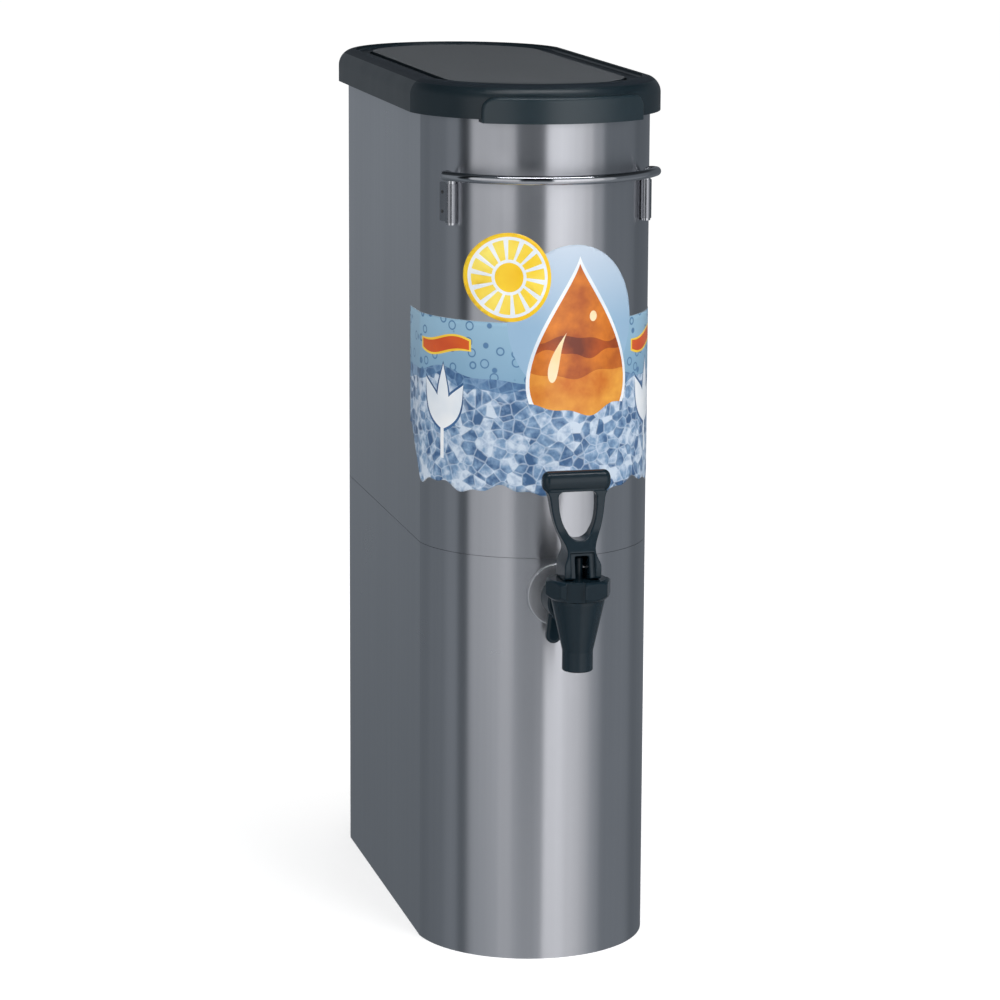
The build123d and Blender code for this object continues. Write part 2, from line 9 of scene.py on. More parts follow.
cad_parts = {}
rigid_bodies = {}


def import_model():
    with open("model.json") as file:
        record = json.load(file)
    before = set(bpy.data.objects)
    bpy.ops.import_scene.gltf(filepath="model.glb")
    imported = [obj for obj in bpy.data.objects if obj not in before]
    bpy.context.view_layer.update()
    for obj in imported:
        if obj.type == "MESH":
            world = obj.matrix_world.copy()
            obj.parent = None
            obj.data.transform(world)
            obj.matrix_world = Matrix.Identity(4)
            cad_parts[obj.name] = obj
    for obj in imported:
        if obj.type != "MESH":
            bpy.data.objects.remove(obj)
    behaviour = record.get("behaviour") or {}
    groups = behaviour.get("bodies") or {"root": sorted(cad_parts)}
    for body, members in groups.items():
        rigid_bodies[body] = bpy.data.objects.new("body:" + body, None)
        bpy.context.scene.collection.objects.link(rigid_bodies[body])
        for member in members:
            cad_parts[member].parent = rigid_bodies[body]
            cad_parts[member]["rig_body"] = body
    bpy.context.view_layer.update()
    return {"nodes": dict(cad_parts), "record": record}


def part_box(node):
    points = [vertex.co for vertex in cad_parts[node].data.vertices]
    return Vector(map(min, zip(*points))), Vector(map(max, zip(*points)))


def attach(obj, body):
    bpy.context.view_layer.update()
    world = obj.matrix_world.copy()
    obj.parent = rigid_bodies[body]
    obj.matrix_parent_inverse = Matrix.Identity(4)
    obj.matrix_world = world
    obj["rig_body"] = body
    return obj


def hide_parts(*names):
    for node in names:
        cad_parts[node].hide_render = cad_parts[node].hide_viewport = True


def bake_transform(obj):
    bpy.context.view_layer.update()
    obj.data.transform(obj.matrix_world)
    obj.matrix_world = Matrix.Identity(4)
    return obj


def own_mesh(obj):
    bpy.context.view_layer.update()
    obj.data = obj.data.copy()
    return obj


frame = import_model()
nodes = frame["nodes"]
subparts = frame["record"]["subparts"]

# Camera, fitted to the photograph: its place in metres, its angles in degrees, the rest in pixels
CAMERA_AT = (-0.616651, -2.520007, 0.813435)
CAMERA_YAW = 13.7032
CAMERA_PITCH = 10.4251
CAMERA_ROLL = 0.28477
FOCAL_PIXELS = 3697.58
PICTURE = 1000
HORIZON_ROW = 437.81
SENSOR_WIDTH = 36.0

# Body, in metres: the front end's round wall and the flat sides beyond its creases
MM = 0.001
END_RADIUS = 80.8 * MM
HALF_WIDTH = 80.0 * MM
BODY_LENGTH = 384 * MM
WALL_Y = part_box("base_shell")[0].y
END_Y = WALL_Y + END_RADIUS
CREASE = END_RADIUS * math.asin(HALF_WIDTH / END_RADIUS)
CREASE_Y = END_Y - math.sqrt(END_RADIUS ** 2 - HALF_WIDTH ** 2)

# Lid: its ledge, the raised panel inside it, and the skirt outside the body
LEDGE_Z = 598.6 * MM
CREST_DROP = 3.5 * MM
PANEL_INSET = 17.7 * MM
PANEL_MARGIN = 0.3 * MM
LID_OVERHANG = 7.2 * MM
LIP_MARGIN = 0.5 * MM

# How far upward a face of the lid points, at least, to be on its upper side or on the level panel, which get
# lighter colours as painted sheen
UPPER_SIDE, LEVEL_FACE = 0.80, 0.9

# Tap: its upright axis, and the levels on it
TAP_Y = WALL_Y - 53.8 * MM
SHANK_Z = 256.9 * MM
COLLAR_Z = 273 * MM
PIN_Z = 287.4 * MM

# Recess in the lever's front face: its centre from the pin, its size and its lean in degrees
RECESS_AHEAD, RECESS_UP = 12.6 * MM, 2.4 * MM
RECESS_SIZE = (16.4 * MM, 4 * MM, 18.8 * MM)
RECESS_LEAN = -12

# Grip notches round the collar: the first bearing, their number, reach and size
NOTCH_BEARING = -18.4
NOTCHES = 3
NOTCH_REACH = 22.7 * MM
NOTCH_SIZE = (12.3 * MM, 10 * MM, 20 * MM)

# Spot welds on the handle's clips
CLIP_FACE = 81.5 * MM
WELD_BEARING = 60.87
WELD_HEIGHTS = (514.2 * MM, 527.3 * MM)
WELD_RADIUS = 1.25 * MM
WELD_FLATNESS = 0.28
WELD_PROUD = 0.05 * MM

# Room: the light that it gives, and the floor's own glow where it is seen
ROOM_LEVEL = 0.62
FLOOR_GLOW = 0.46
FLOOR_HALF_SIZE = 30.0

# Lamps: name, bearing and height in degrees, distance and size in metres, power in watts
LAMPS = (
    ("key", 35, 40, 2.2, 1.5, 22),
    ("fill", -50, 30, 2.4, 1.5, 10),
)
LAMP_TARGET_Z = 0.35

# Studio: grey cards in a ring, seen only by reflections.
# Each is (first bearing in degrees from straight ahead, upper level, lower level).
CARDS = (
    (-180, 0.265, 0.19),
    (-160, 0.20, 0.20),
    (-128, 0.235, 0.24),
    (-102, 0.31, 0.31),
    (-86, 0.015, 0.19),
    (-74, 0.80, 0.45),
    (-56, 0.82, 0.52),
    (-42, 0.82, 0.64),
    (-28, 0.06, 0.60),
    (1, 1.46, 1.02),
    (22, 1.26, 0.86),
    (36, 0.95, 0.72),
    (47, 0.56, 0.49),
    (59, 0.21, 0.32),
    (105, 0.16, 0.20),
)
CARD_BLEND = 4.0
RING_RADIUS = 1.6
RING_HEIGHT = 3.0

# Rows of the ring: radius, height, share of the upper level, and gain
CARD_ROWS = (
    (0.02, -0.9, 0, 0.8),
    (RING_RADIUS, -0.9, 0, 0.8),
    (RING_RADIUS, -0.28, 0, 0.92),
    (RING_RADIUS, -0.17, 0, 1),
    (RING_RADIUS, 0.0, 0.2, 1),
    (RING_RADIUS, 0.27, 1, 1),
    (RING_RADIUS, 1.05, 1, 1),
    (RING_RADIUS, 1.4, 1, 0.25),
    (RING_RADIUS, RING_HEIGHT, 1, 0.12),
)
CEILING_LEVEL = 0.11
CEILING_MARGIN = 0.1

# A long narrow light overhead, whose reflection runs along rounded edges
STRIP_HALF_LENGTH, STRIP_HALF_WIDTH = 0.9, 0.07
STRIP_HEIGHT = 2.0
STRIP_AHEAD = 0.55
STRIP_LEVEL = 12.0

# Tint of the cards: cool where they are dark, near white from a certain level up
DARK_TINT = (0.86, 0.99, 1.13, 1)
BRIGHT_TINT = (1, 1, 1.03, 1)
BRIGHT_FROM = 0.7

# Printed film on the front end: lengths in metres along the wall and up
FILM_LOW = 0.05 * MM
FILM_HIGH = 0.30 * MM
GRID_ACROSS, GRID_UP, GRID_SPARE = 2.0 * MM, 3.5 * MM, 20 * MM
CREASE_STEP, CREASE_STEPS = 3 * MM, 40
LABEL_BOTTOM, LABEL_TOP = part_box("front_label")[0].z, 442.4 * MM
LABEL_REACH = CREASE + 30 * MM
ARCH_X, ARCH_HALF_WIDTH, ARCH_TOP = 10 * MM, 44 * MM, 494.7 * MM
DISC_X, DISC_Z, DISC_HALF_WIDTH, DISC_HALF_HEIGHT = -33 * MM, 473 * MM, 27 * MM, 30 * MM

# The film's wavy bottom: height, length and phase of each wave, and the rise at its two ends
EDGE_WAVES = (
    (2.6 * MM, 8.2 * MM, 0),
    (1.3 * MM, 3.3 * MM, 1),
)
EDGE_LIFT = 4.2 * MM
EDGE_RISE, EDGE_RISE_FROM = 30 * MM, 108 * MM

# Fields with a wavy top: ink, level, height, length and phase of the wave. The ripple on each wave
# has a share of its height and a multiple of its rate.
RIPPLE_HEIGHT, RIPPLE_RATE = 0.45, 2.3
BACK_FIELDS = (
    ("print_deep", 405 * MM, 3.2 * MM, 17 * MM, 0.4),
    ("print_water", 398 * MM, 3.6 * MM, 14 * MM, 1.9),
)
DROP_FIELDS = (
    ("print_brown", 431 * MM, 2.2 * MM, 9 * MM, 0.7),
    ("print_amber", 421 * MM, 2.6 * MM, 8 * MM, 2.2),
    ("print_gold", 407 * MM, 2.4 * MM, 10 * MM, 4.0),
)
FRONT_FIELD = ("print_water", 383 * MM, 3.4 * MM, 11 * MM, 3.0)

# Disc: its pith, the rays' two ends and its heart, as shares of its size. Then the number of rays,
# the first one's bearing in degrees, and half a ray's width as a share of their pitch.
DISC_PITH, RAY_OUTER, RAY_INNER, DISC_HEART = 0.91, 0.84, 0.40, 0.33
RAYS, RAY_START, RAY_SHARE = 14, 7, 0.40

# Drop, the white rim round it, and the two shines on it
DROP_X, DROP_BOTTOM, DROP_HALF_WIDTH, DROP_HEIGHT, DROP_LEAN = 16 * MM, 369 * MM, 51.5 * MM, 113 * MM, -2 * MM
RIM_SIDE, RIM_BELOW, RIM_TALLER = 3.5 * MM, 3 * MM, 8 * MM
SHINE_ASIDE, SHINE_BOTTOM, SHINE_HALF_WIDTH, SHINE_HEIGHT = 21 * MM, 402 * MM, 5.0 * MM, 34 * MM
SHINE_LEAN = 10 * MM
GLINT_X, GLINT_Z, GLINT_HALF_WIDTH, GLINT_HALF_HEIGHT = 24 * MM, 446 * MM, 2.6 * MM, 3.6 * MM

# Sprig near each end of the film, under a ribbon: each leaf is (tip aside, tip level, belly)
SPRIG_X, SPRIG_FOOT = 86 * MM, 366 * MM
LEAVES = (
    (-19 * MM, 402 * MM, 7.2 * MM),
    (19 * MM, 400 * MM, 7.2 * MM),
    (1 * MM, 413 * MM, 5.6 * MM),
)
LEAF_RIM, LEAF_SHIFT = 1.5 * MM, 2 * MM
LEAF_SKEW, LEAF_SHARPNESS = 0.85, 1.1
STALK_HALF_WIDTH, STALK_BOTTOM, STALK_TOP = 1.6 * MM, 346 * MM, 370 * MM
RIBBON_Z, RIBBON_SWING, RIBBON_RIM = 424 * MM, 2.6 * MM, 1.6 * MM
RIBBON_HALF_LENGTH, RIBBON_HALF_WIDTH = 23.4 * MM, 4.6 * MM
RIBBON_TURN, RIBBON_TAPER = 2.6, 0.35

# Inks: name, darker tone, lighter tone, as screen colours
PLAIN_INKS = (
    ("print_white", (222, 232, 242), (248, 250, 252)),
    ("print_navy", (36, 74, 120), (62, 108, 158)),
    ("print_yellow", (246, 196, 40), (252, 222, 80)),
    ("print_orange", (206, 74, 20), (226, 100, 26)),
    ("print_sun_rim", (244, 190, 10), (254, 218, 40)),
    ("print_sun", (248, 206, 24), (254, 236, 110)),
    ("print_cream", (250, 214, 150), (255, 240, 206)),
)
TEA_INKS = (
    ("print_amber", (168, 76, 16), (226, 130, 32)),
    ("print_gold", (206, 110, 24), (240, 168, 62)),
    ("print_brown", (112, 42, 12), (186, 84, 20)),
)

# Broken patterns of ice: name, dark, middle and light tone, as screen colours
ICE_INKS = (
    ("print_water", (58, 96, 140), (124, 157, 192), (206, 220, 236)),
    ("print_deep", (58, 96, 140), (84, 124, 166), (126, 160, 194)),
)
INK_FINISH = {"Roughness": 0.30, "IOR": 1.5, "Coat_Weight": 0.25, "Coat_Roughness": 0.12}
SKY_LOW, SKY_HIGH = 335 * MM, 445 * MM
PALE_LOW, PALE_HIGH = 440 * MM, 495 * MM

# Places of the colour sockets on Blender's Mix node
MIX_FACTOR, MIX_FIRST, MIX_SECOND, MIX_RESULT = 0, 6, 7, 2


def make_camera():
    """Camera at the photograph's viewpoint, with the small shift that its framing needs."""
    data = bpy.data.cameras.new("camera")
    data.sensor_width = SENSOR_WIDTH
    data.lens = SENSOR_WIDTH * FOCAL_PIXELS / PICTURE
    data.shift_y = (HORIZON_ROW - PICTURE / 2) / PICTURE
    data.clip_end = 200.0
    yaw, pitch, roll = (math.radians(a) for a in (CAMERA_YAW, CAMERA_PITCH, CAMERA_ROLL))
    forward = Vector((math.sin(yaw) * math.cos(pitch), math.cos(yaw) * math.cos(pitch), -math.sin(pitch)))
    level = Vector((math.cos(yaw), -math.sin(yaw), 0))
    upright = level.cross(forward)
    right = level * math.cos(roll) + upright * math.sin(roll)
    up = upright * math.cos(roll) - level * math.sin(roll)
    turn = Matrix((right, up, -forward)).transposed().to_4x4()
    camera = bpy.data.objects.new("camera", data)
    camera.matrix_world = Matrix.Translation(CAMERA_AT) @ turn
    bpy.context.scene.collection.objects.link(camera)
    bpy.context.scene.camera = camera


def add_object(name, mesh):
    """A mesh as an object of the scene."""
    piece = bpy.data.objects.new(name, mesh)
    bpy.context.scene.collection.objects.link(piece)
    return piece


def smooth_step(value, start, end):
    """0 below the start and 1 beyond the end, with a soft change between them."""
    share = min(1.0, max(0.0, (value - start) / (end - start)))
    return share * share * (3 - 2 * share)


class Material:
    """A node material under construction: short calls for the nodes that the finishes share."""

    def __init__(self, name, **settings):
        self.data = bpy.data.materials.new(name)
        self.data.use_nodes = True
        self.tree = self.data.node_tree
        self.shader = self.tree.nodes["Principled BSDF"]
        for socket, value in settings.items():
            self.shader.inputs[socket.replace("_", " ")].default_value = value

    def link(self, source, target):
        self.tree.links.new(source, target)

    def fill(self, socket, value):
        """An input given as a socket is linked; anything else is its value."""
        if isinstance(value, bpy.types.NodeSocket):
            self.link(value, socket)
        else:
            socket.default_value = value

    def node(self, kind, inputs=None, **settings):
        """A new node with its inputs filled."""
        made = self.tree.nodes.new("ShaderNode" + kind)
        for key, value in settings.items():
            setattr(made, key, value)
        for key, value in (inputs or {}).items():
            self.fill(made.inputs[key], value)
        return made

    def where(self):
        """Places in the frame of the part, in metres."""
        return self.node("TexCoord").outputs["Object"]

    def place(self, scale):
        """Places stretched by a scale along each axis."""
        return self.node("Mapping", {"Vector": self.where(), "Scale": scale}).outputs["Vector"]

    def height(self):
        """Height above the floor, in metres."""
        return self.node("SeparateXYZ", {"Vector": self.where()}).outputs["Z"]

    def noise(self, scale, detail=2.0):
        """Noise from 0 to 1 with its own scale along each axis."""
        inputs = {"Vector": self.place(scale), "Scale": 1.0, "Detail": detail, "Roughness": 0.5}
        return self.node("TexNoise", inputs).outputs["Fac"]

    def spread(self, value, low, high, start=0.0, end=1.0):
        """A value brought from one range to another, held at the ends."""
        inputs = {"Value": value, "From Min": start, "From Max": end, "To Min": low, "To Max": high}
        return self.node("MapRange", inputs).outputs["Result"]

    def math(self, operation, first, second):
        """Two values joined by an operation."""
        return self.node("Math", {0: first, 1: second}, operation=operation).outputs[0]

    def vector(self, operation, first, second):
        """Two vectors joined by an operation."""
        return self.node("VectorMath", {0: first, 1: second}, operation=operation).outputs[0]

    def mix(self, factor, first, second):
        """Two colours mixed."""
        made = self.node("Mix", data_type="RGBA")
        self.fill(made.inputs[MIX_FACTOR], factor)
        for place, colour in ((MIX_FIRST, first), (MIX_SECOND, second)):
            if not isinstance(colour, bpy.types.NodeSocket):
                colour = (*colour, 1.0)
            self.fill(made.inputs[place], colour)
        return made.outputs[MIX_RESULT]

    def ramp(self, value, *stops):
        """A colour ramp with (place, colour) stops."""
        made = self.node("ValToRGB", {"Fac": value})
        elements = made.color_ramp.elements
        while len(elements) < len(stops):
            elements.new(0.5)
        for element, (place, colour) in zip(elements, stops):
            element.position = place
            element.color = (*colour, 1.0)
        return made.outputs["Color"]

    def colour(self, socket):
        self.link(socket, self.shader.inputs["Base Color"])

    def rough(self, socket):
        self.link(socket, self.shader.inputs["Roughness"])

    def bump(self, height, distance):
        """Relief from a height socket, its depth in metres."""
        made = self.node("Bump", {"Height": height, "Distance": distance, "Strength": 1.0})
        self.link(made.outputs["Normal"], self.shader.inputs["Normal"])


def scaled(colour, share):
    """A colour made darker or lighter."""
    return tuple(level * share for level in colour)


def srgb(red, green, blue):
    """A screen colour, 0 to 255 each, as the linear values that a shader takes."""
    values = []
    for level in (red, green, blue):
        share = level / 255
        values.append(share / 12.92 if share <= 0.04045 else ((share + 0.055) / 1.055) ** 2.4)
    return tuple(values)


def brushed_steel(name, base, roughness):
    """Stainless with its grain running round the body: reflections smear up and down."""
    m = Material(name, Metallic=1.0, Roughness=roughness, Anisotropic=0.95, Anisotropic_Rotation=0.25)
    tangent = m.node("Tangent", direction_type="RADIAL", axis="Z")
    m.link(tangent.outputs["Tangent"], m.shader.inputs["Tangent"])
    grain = m.noise((9, 9, 300), detail=1.0)
    streak = m.noise((170, 170, 2.0), detail=3.0)
    cloud = m.noise((7, 7, 5), detail=3.0)
    waviness = m.noise((75, 75, 2.0), detail=1.0)
    m.colour(m.mix(m.spread(streak, 0, 1, 0.3, 0.7), scaled(base, 0.95), base))
    grainy = m.spread(grain, roughness - 0.008, roughness + 0.008, 0.0, 1.0)
    cloudy = m.spread(cloud, -0.03, 0.03, 0.3, 0.7)
    m.rough(m.math("ADD", grainy, cloudy))
    m.bump(waviness, 0.08 * MM)
    return m.data


def spun_steel():
    """Pressed and spun flange: even satin with faint rings about the shank."""
    m = Material("spun_steel", Metallic=1.0, Roughness=0.5)
    from_shank = m.vector("ADD", m.where(), (0, 0, -SHANK_Z))
    across = m.vector("MULTIPLY", from_shank, (1, 0, 1))
    reach = m.node("VectorMath", {0: across}, operation="LENGTH").outputs["Value"]
    noise = m.node("TexNoise", {"W": reach, "Scale": 700.0, "Detail": 1.0}, noise_dimensions="1D")
    rings = noise.outputs["Fac"]
    m.colour(m.mix(rings, (0.62, 0.63, 0.65), (0.68, 0.69, 0.71)))
    m.rough(m.spread(rings, 0.46, 0.54, 0.3, 0.7))
    return m.data


def mill_steel(name, base, roughness):
    """Plain rolled or turned steel, as on the clips and inside the dispenser."""
    m = Material(name, Metallic=1.0, Roughness=roughness)
    cloud = m.noise((60, 60, 60), detail=4.0)
    m.colour(m.mix(cloud, scaled(base, 0.85), base))
    m.rough(m.spread(cloud, roughness - 0.08, roughness + 0.08, 0.3, 0.7))
    return m.data


def bright_wire():
    """Polished wire with a faint mottle."""
    m = Material("bright_wire", Metallic=1.0, Roughness=0.07)
    mottle = m.noise((900, 900, 900), detail=1.0)
    m.colour(m.mix(mottle, (0.46, 0.47, 0.49), (0.56, 0.57, 0.59)))
    m.rough(m.spread(mottle, 0.05, 0.10, 0.3, 0.7))
    return m.data


def moulded_plastic(name, base, roughness, grain, ior=1.5):
    """Dark moulded plastic: a faint unevenness of gloss and a texture of the given depth."""
    m = Material(name, Roughness=roughness, IOR=ior)
    cloud = m.noise((35, 35, 35), detail=3.0)
    m.colour(m.mix(cloud, scaled(base, 0.88), scaled(base, 1.1)))
    m.rough(m.spread(cloud, roughness - 0.04, roughness + 0.04, 0.0, 1.0))
    m.bump(m.noise((1600, 1600, 1600), detail=1.0), grain)
    return m.data


def soft_silicone():
    """Milky silicone."""
    m = Material("silicone", Roughness=0.45, Subsurface_Weight=0.3, Subsurface_Scale=2 * MM)
    m.colour(m.mix(m.noise((120, 120, 120)), (0.68, 0.68, 0.65), (0.76, 0.76, 0.74)))
    return m.data


def weld_mark():
    """Dark burnt steel of a spot weld."""
    m = Material("weld_mark", Metallic=0.6, Roughness=0.6)
    m.colour(m.mix(m.noise((900, 900, 900)), (0.035, 0.038, 0.042), (0.11, 0.115, 0.12)))
    return m.data


def make_finishes():
    """The finishes, by the record's name for each material slot."""
    return {
        "stainless": brushed_steel("stainless", (0.56, 0.57, 0.595), 0.30),
        "stainless_inside": mill_steel("stainless_inside", (0.60, 0.60, 0.60), 0.35),
        "bright_wire": bright_wire(),
        "clip_sheet": mill_steel("clip_sheet", (0.34, 0.35, 0.37), 0.22),
        "lid_plastic": moulded_plastic("lid_plastic", (0.005, 0.014, 0.020), 0.34, 0.003 * MM),
        "tap_plastic": moulded_plastic("tap_plastic", (0.007, 0.017, 0.025), 0.21, 0.002 * MM, 1.38),
        "silicone": soft_silicone(),
        "spring_wire": mill_steel("spring_wire", (0.6, 0.6, 0.6), 0.25),
    }


def finish_nodes():
    """Each CAD piece in the finish of its slot; the film's piece is replaced instead."""
    finishes = make_finishes()
    for row in subparts:
        if row["node"] != "front_label":
            materials = nodes[row["node"]].data.materials
            materials.clear()
            materials.append(finishes[row["material_slot"]])
    nodes["spigot_flange"].data.materials[0] = spun_steel()


def seen_directly(tree):
    """1 for a camera, glossy or transmission ray, 0 for the others."""
    path = tree.nodes.new("ShaderNodeLightPath")
    seen = path.outputs["Is Camera Ray"]
    for ray in ("Is Glossy Ray", "Is Transmission Ray"):
        either = tree.nodes.new("ShaderNodeMath")
        either.operation = "MAXIMUM"
        tree.links.new(seen, either.inputs[0])
        tree.links.new(path.outputs[ray], either.inputs[1])
        seen = either.outputs[0]
    return seen


def make_room():
    """A white room for the eye, which gives a softer light all round."""
    world = bpy.data.worlds.new("studio")
    bpy.context.scene.world = world
    world.use_nodes = True
    tree = world.node_tree
    strength = tree.nodes.new("ShaderNodeMapRange")
    strength.inputs["To Min"].default_value = ROOM_LEVEL
    strength.inputs["To Max"].default_value = 1.0
    tree.links.new(seen_directly(tree), strength.inputs["Value"])
    background = tree.nodes["Background"]
    background.inputs["Color"].default_value = (1, 1, 1, 1)
    tree.links.new(strength.outputs["Result"], background.inputs["Strength"])


def rectangle(half_width, half_depth, centre_y, height):
    """Corners of a level rectangle."""
    signs = ((-1, -1), (1, -1), (1, 1), (-1, 1))
    return [(x * half_width, centre_y + y * half_depth, height) for x, y in signs]


def make_floor():
    """Pale floor, lifted to the white of the room where it is seen, so that shadows stay."""
    m = Material("floor", Roughness=1.0, Specular_IOR_Level=0.0, Emission_Color=(1, 1, 1, 1))
    m.colour(m.mix(m.noise((3, 3, 3)), (0.90, 0.90, 0.90), (0.92, 0.92, 0.92)))
    m.link(m.spread(seen_directly(m.tree), 0.0, FLOOR_GLOW), m.shader.inputs["Emission Strength"])
    mesh = bpy.data.meshes.new("floor")
    mesh.from_pydata(rectangle(FLOOR_HALF_SIZE, FLOOR_HALF_SIZE, 0, 0), [], [(0, 1, 2, 3)])
    mesh.materials.append(m.data)
    floor = add_object("floor", mesh)
    floor.visible_glossy = False


def make_lamp(name, bearing, height, distance, size, watts):
    """A large square lamp that looks at the front of the body and isn't reflected itself."""
    data = bpy.data.lights.new(name, "AREA")
    data.size = size
    data.energy = watts
    lamp = bpy.data.objects.new(name, data)
    turn, rise = math.radians(bearing), math.radians(height)
    target = Vector((0, END_Y, LAMP_TARGET_Z))
    away = Vector((math.sin(turn) * math.cos(rise), -math.cos(turn) * math.cos(rise), math.sin(rise)))
    lamp.location = target + away * distance
    lamp.rotation_euler = away.to_track_quat("Z", "Y").to_euler()
    lamp.visible_glossy = False
    lamp.visible_camera = False
    bpy.context.scene.collection.objects.link(lamp)


def card_glow(name):
    """Light of a card: its level is the mesh's own glow attribute."""
    data = bpy.data.materials.new(name)
    data.use_nodes = True
    tree = data.node_tree
    tree.nodes.clear()
    level = tree.nodes.new("ShaderNodeAttribute")
    level.attribute_name = "glow"
    tint = tree.nodes.new("ShaderNodeValToRGB")
    dark, bright = tint.color_ramp.elements
    dark.color = DARK_TINT
    bright.color = BRIGHT_TINT
    bright.position = BRIGHT_FROM
    emission = tree.nodes.new("ShaderNodeEmission")
    output = tree.nodes.new("ShaderNodeOutputMaterial")
    tree.links.new(level.outputs["Fac"], tint.inputs["Fac"])
    tree.links.new(tint.outputs["Color"], emission.inputs["Color"])
    tree.links.new(level.outputs["Fac"], emission.inputs["Strength"])
    tree.links.new(emission.outputs["Emission"], output.inputs["Surface"])
    return data


def reflected(name, points, faces, glow):
    """A glowing card that only reflections see, with the level of each of its points."""
    mesh = bpy.data.meshes.new(name)
    mesh.from_pydata(points, [], faces)
    mesh.attributes.new("glow", "FLOAT", "POINT").data.foreach_set("value", glow)
    mesh.materials.append(card_glow(name))
    card = add_object(name, mesh)
    card.visible_camera = False
    card.visible_diffuse = False
    card.visible_shadow = False
    card.visible_transmission = False


def card_levels(bearing):
    """Upper and lower level of the cards at a bearing, blended over their edges."""
    upper, lower = CARDS[0][1:]
    for start, high, low in CARDS[1:]:
        share = smooth_step(bearing, start - CARD_BLEND / 2, start + CARD_BLEND / 2)
        upper += (high - upper) * share
        lower += (low - lower) * share
    return upper, lower


def make_ring():
    """The ring of grey cards, from below the floor to well above the object."""
    bearings = range(-180, 181)
    points, glow = [], []
    for bearing in bearings:
        turn = math.radians(bearing)
        upper, lower = card_levels(bearing)
        for radius, height, share, gain in CARD_ROWS:
            points.append((radius * math.sin(turn), END_Y - radius * math.cos(turn), height))
            glow.append(gain * (lower + (upper - lower) * share))
    count = len(CARD_ROWS)
    faces = []
    for column in range(len(bearings) - 1):
        for row in range(count - 1):
            near, far = column * count + row, (column + 1) * count + row
            faces.append((near, far, far + 1, near + 1))
    reflected("cards", points, faces, glow)


def make_studio():
    """White room and floor, two large lamps, the ring of cards, a dark ceiling and the strip light."""
    bpy.context.scene.view_settings.view_transform = "Standard"
    make_room()
    make_floor()
    for lamp in LAMPS:
        make_lamp(*lamp)
    make_ring()
    wide = RING_RADIUS + CEILING_MARGIN
    ceiling = rectangle(wide, wide, END_Y, RING_HEIGHT)
    reflected("ceiling", ceiling, [(0, 1, 2, 3)], [CEILING_LEVEL] * 4)
    strip = rectangle(STRIP_HALF_LENGTH, STRIP_HALF_WIDTH, END_Y - STRIP_AHEAD, STRIP_HEIGHT)
    reflected("strip", strip, [(0, 1, 2, 3)], [STRIP_LEVEL] * 4)


def wrap(along, height, lift):
    """Point on the wall, a length along it from the front's middle line, lifted off it."""
    side = math.copysign(1.0, along)
    reach = min(abs(along), CREASE)
    beyond = abs(along) - reach
    if beyond > 0:
        return Vector((side * (HALF_WIDTH + lift), CREASE_Y + beyond, height))
    turn = side * reach / END_RADIUS
    out = END_RADIUS + lift
    return Vector((out * math.sin(turn), END_Y - out * math.cos(turn), height))


def along_wall(x):
    """Length along the wall to a place seen at x from straight ahead."""
    return END_RADIUS * math.asin(x / END_RADIUS)


def across_film(count):
    """Evenly spaced lengths along the wall, from the film's left end to its right end."""
    return [-LABEL_REACH + 2 * LABEL_REACH * step / count for step in range(count + 1)]


def oval(centre_x, centre_z, half_width, half_height, steps=72, start=0.0, end=360.0):
    """Outline of an ellipse drawn on the wall as it looks from straight ahead."""
    outline = []
    for step in range(steps):
        turn = math.radians(start + (end - start) * step / steps)
        along = along_wall(centre_x + half_width * math.cos(turn))
        outline.append((along, centre_z + half_height * math.sin(turn)))
    return outline


def disc_oval(share, *arc):
    """Outline inside the disc, at a share of its size."""
    return oval(DISC_X, DISC_Z, DISC_HALF_WIDTH * share, DISC_HALF_HEIGHT * share, *arc)


def arch_oval():
    """Outline of the arch: an ellipse whose lower half lies on the film's main band."""
    return oval(ARCH_X, LABEL_TOP, ARCH_HALF_WIDTH, ARCH_TOP - LABEL_TOP)


def lower_edge(along):
    """Wavy bottom of the film, rising towards its two ends."""
    waves = sum(height * math.sin(along / length + phase) for height, length, phase in EDGE_WAVES)
    rise = EDGE_RISE * smooth_step(abs(along), EDGE_RISE_FROM, LABEL_REACH)
    return LABEL_BOTTOM + EDGE_LIFT + waves + rise


def band_outline():
    """The film's main band with its wavy bottom."""
    places = across_film(240)
    bottom = [(along, lower_edge(along)) for along in places]
    top = [(along, LABEL_TOP) for along in reversed(places)]
    return bottom + top


def wave_outline(level, height, length, phase):
    """A field with a wavy upper line, closed below the film."""
    top = []
    for along in reversed(across_film(200)):
        ripple = RIPPLE_HEIGHT * math.sin(RIPPLE_RATE * along / length + 2 * phase)
        top.append((along, level + height * (math.sin(along / length + phase) + ripple)))
    floor = LABEL_BOTTOM - 10 * MM
    return [(-LABEL_REACH, floor), (LABEL_REACH, floor)] + top


def drop_outline(centre, bottom, half_width, height, lean):
    """A hanging drop: round below, drawn to a point above, which leans aside."""
    steps = 64
    outline = []
    for step in range(steps):
        turn = 2 * math.pi * step / steps
        x = half_width * math.sin(turn) * math.sin(turn / 2) ** 1.5
        share = (1 + math.cos(turn)) / 2
        outline.append((centre + x + lean * share ** 2, bottom + height * share))
    return outline


def leaf_outline(foot, tip, belly):
    """A pointed leaf between two points, its widest part a little before the middle."""
    steps = 24
    start, end = Vector(foot), Vector(tip)
    run = (end - start).normalized()
    across = Vector((-run.y, run.x))
    left, right = [tuple(start)], []
    for step in range(1, steps):
        share = step / steps
        width = belly * math.sin(math.pi * share ** LEAF_SKEW) ** LEAF_SHARPNESS
        middle = start.lerp(end, share)
        left.append(tuple(middle + across * width))
        right.append(tuple(middle - across * width))
    return left + [tuple(end)] + right[::-1]


